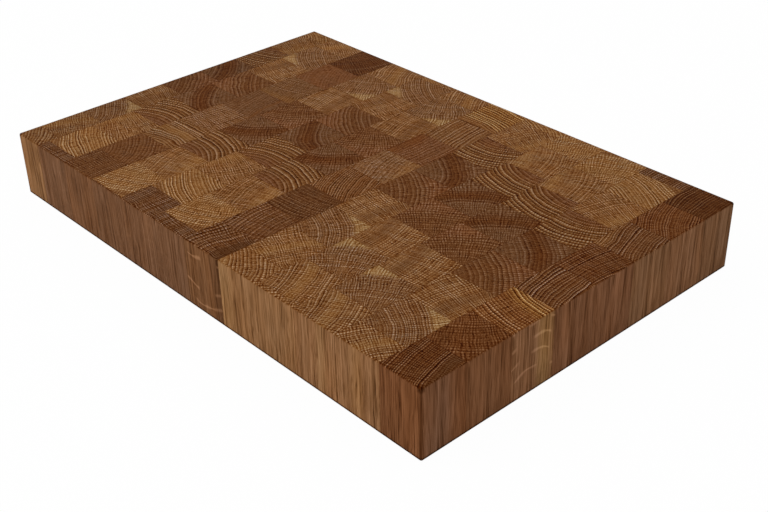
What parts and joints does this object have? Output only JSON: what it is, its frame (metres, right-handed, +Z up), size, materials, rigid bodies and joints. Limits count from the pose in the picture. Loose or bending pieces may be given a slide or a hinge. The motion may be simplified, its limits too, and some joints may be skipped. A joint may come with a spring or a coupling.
{
  "type": "chopping block",
  "caption": "Rectangular end-grain oak chopping block glued up from upright square staves, flat top and underside, rounded edges.",
  "frame": {"origin": "middle of the underside, on the surface that the block rests on", "axes": "+X along the block's length, across the rows of blocks; +Y along its width, from the -Y long face; +Z up, along the grain"},
  "size_m": [0.6, 0.4, 0.07],
  "materials": {
    "oiled_end_grain_oak": "oiled satin, end grain on top, upright side grain on the faces"
  },
  "bodies": {
    "root": {"row_01_block_9": "oiled_end_grain_oak", "row_01_blocks_1_2": "oiled_end_grain_oak", "row_01_blocks_3_4": "oiled_end_grain_oak", "row_01_blocks_5_6": "oiled_end_grain_oak", "row_01_blocks_7_8": "oiled_end_grain_oak", "row_02_block_9": "oiled_end_grain_oak", "row_02_blocks_1_2": "oiled_end_grain_oak", "row_02_blocks_3_4": "oiled_end_grain_oak", "row_02_blocks_5_6": "oiled_end_grain_oak", "row_02_blocks_7_8": "oiled_end_grain_oak", "row_03_blocks_1_2": "oiled_end_grain_oak", "row_03_blocks_3_4": "oiled_end_grain_oak", "row_03_blocks_5_6": "oiled_end_grain_oak", "row_03_blocks_7_8": "oiled_end_grain_oak", "row_04_blocks_1_2": "oiled_end_grain_oak", "row_04_blocks_3_4": "oiled_end_grain_oak", "row_04_blocks_5_6": "oiled_end_grain_oak", "row_04_blocks_7_8": "oiled_end_grain_oak", "row_05_block_9": "oiled_end_grain_oak", "row_05_blocks_1_2": "oiled_end_grain_oak", "row_05_blocks_3_4": "oiled_end_grain_oak", "row_05_blocks_5_6": "oiled_end_grain_oak", "row_05_blocks_7_8": "oiled_end_grain_oak", "row_06_block_9": "oiled_end_grain_oak", "row_06_blocks_1_2": "oiled_end_grain_oak", "row_06_blocks_3_4": "oiled_end_grain_oak", "row_06_blocks_5_6": "oiled_end_grain_oak", "row_06_blocks_7_8": "oiled_end_grain_oak", "row_07_blocks_1_2": "oiled_end_grain_oak", "row_07_blocks_3_4": "oiled_end_grain_oak", "row_07_blocks_5_6": "oiled_end_grain_oak", "row_07_blocks_7_8": "oiled_end_grain_oak", "row_08_block_9": "oiled_end_grain_oak", "row_08_blocks_1_2": "oiled_end_grain_oak", "row_08_blocks_3_4": "oiled_end_grain_oak", "row_08_blocks_5_6": "oiled_end_grain_oak", "row_08_blocks_7_8": "oiled_end_grain_oak", "row_09_block_9": "oiled_end_grain_oak", "row_09_blocks_1_2": "oiled_end_grain_oak", "row_09_blocks_3_4": "oiled_end_grain_oak", "row_09_blocks_5_6": "oiled_end_grain_oak", "row_09_blocks_7_8": "oiled_end_grain_oak", "row_10_blocks_1_2": "oiled_end_grain_oak", "row_10_blocks_3_4": "oiled_end_grain_oak", "row_10_blocks_5_6": "oiled_end_grain_oak", "row_10_blocks_7_8": "oiled_end_grain_oak", "row_11_block_9": "oiled_end_grain_oak", "row_11_blocks_1_2": "oiled_end_grain_oak", "row_11_blocks_3_4": "oiled_end_grain_oak", "row_11_blocks_5_6": "oiled_end_grain_oak", "row_11_blocks_7_8": "oiled_end_grain_oak", "row_12_blocks_1_2": "oiled_end_grain_oak", "row_12_blocks_3_4": "oiled_end_grain_oak", "row_12_blocks_5_6": "oiled_end_grain_oak", "row_12_blocks_7_8": "oiled_end_grain_oak"}
  },
  "joints": []
}
